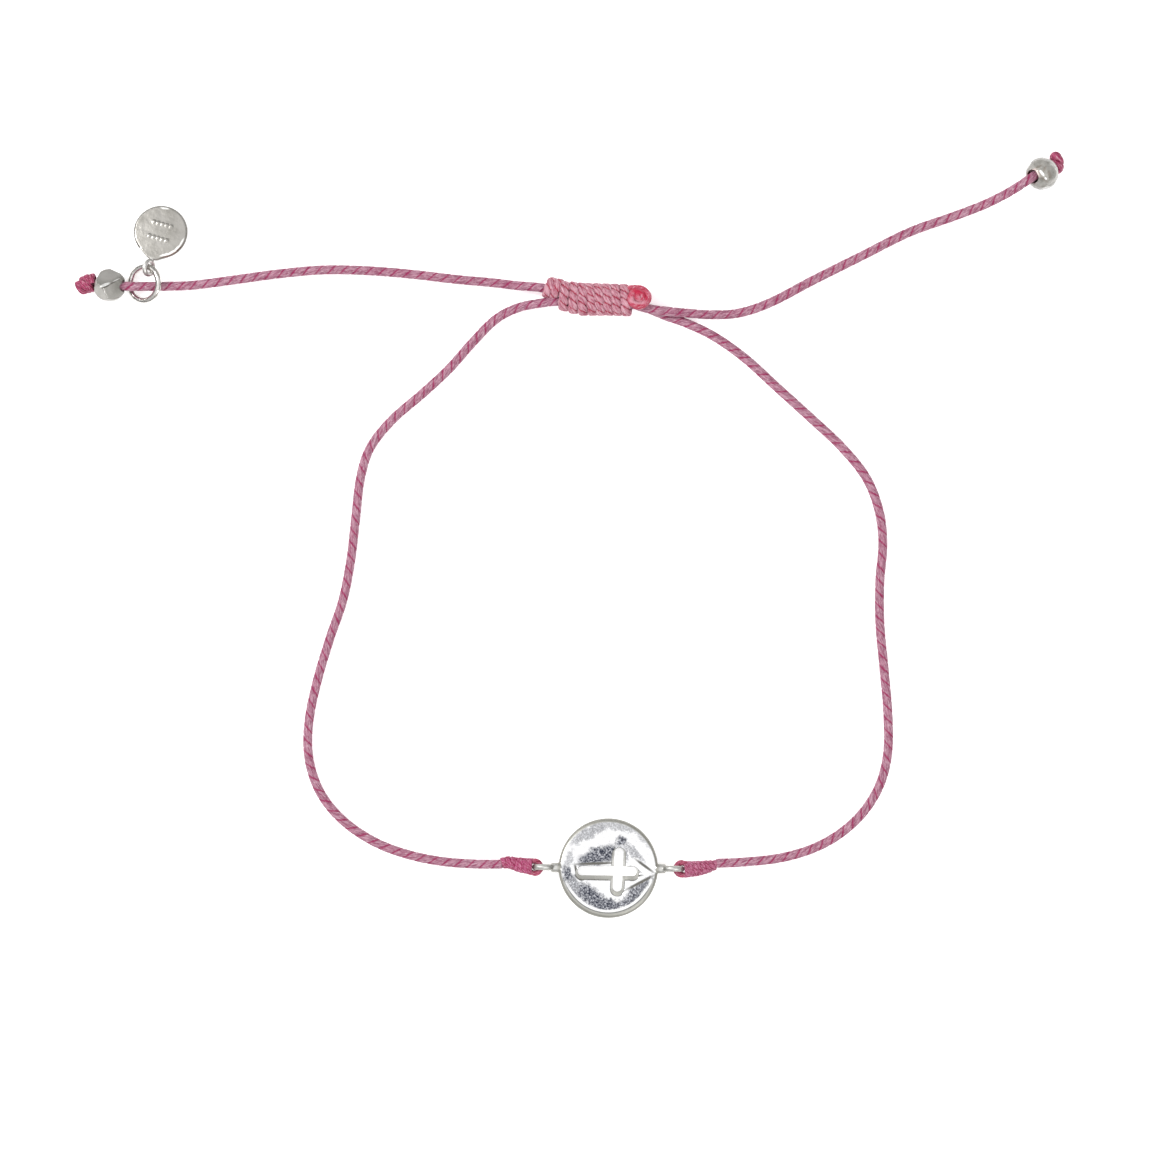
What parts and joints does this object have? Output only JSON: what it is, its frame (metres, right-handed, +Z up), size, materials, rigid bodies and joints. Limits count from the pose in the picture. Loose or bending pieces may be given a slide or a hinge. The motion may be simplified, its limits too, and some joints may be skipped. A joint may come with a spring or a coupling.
{
  "type": "cord bracelet",
  "caption": "Adjustable twisted-cord bracelet with a cross-pierced silver disc, wrapped sliding knot, faceted end beads and a small tag.",
  "frame": {"origin": "on the surface the bracelet lies on, midway between the disc's lower rim and the sliding knot's far side, and midway between the ends of the two ties", "axes": "+X along the disc's two eyes, towards the longer free end's bead; +Y from the disc towards the sliding knot; +Z up from the surface, the way the disc's face looks"},
  "size_m": [0.0996, 0.0773, 0.0033],
  "materials": {
    "silver_polished": "polished, lightly planished",
    "silver_satin": "satin with soft scratches",
    "cord": "waxed twisted cord, mauve pink",
    "knot_cord": "waxed twisted cord, salmon pink",
    "thread": "fine thread, dark pink"
  },
  "bodies": {
    "root": {"disc": "silver_polished", "tie_left": "thread", "tie_right": "thread", "cord_left": "cord", "cord_right": "cord", "sliding_knot": "knot_cord", "bead_left": "silver_satin", "bead_right": "silver_satin", "end_knot_left": "thread", "end_knot_right": "thread", "jump_ring": "silver_satin", "tag": "silver_satin"}
  },
  "joints": []
}
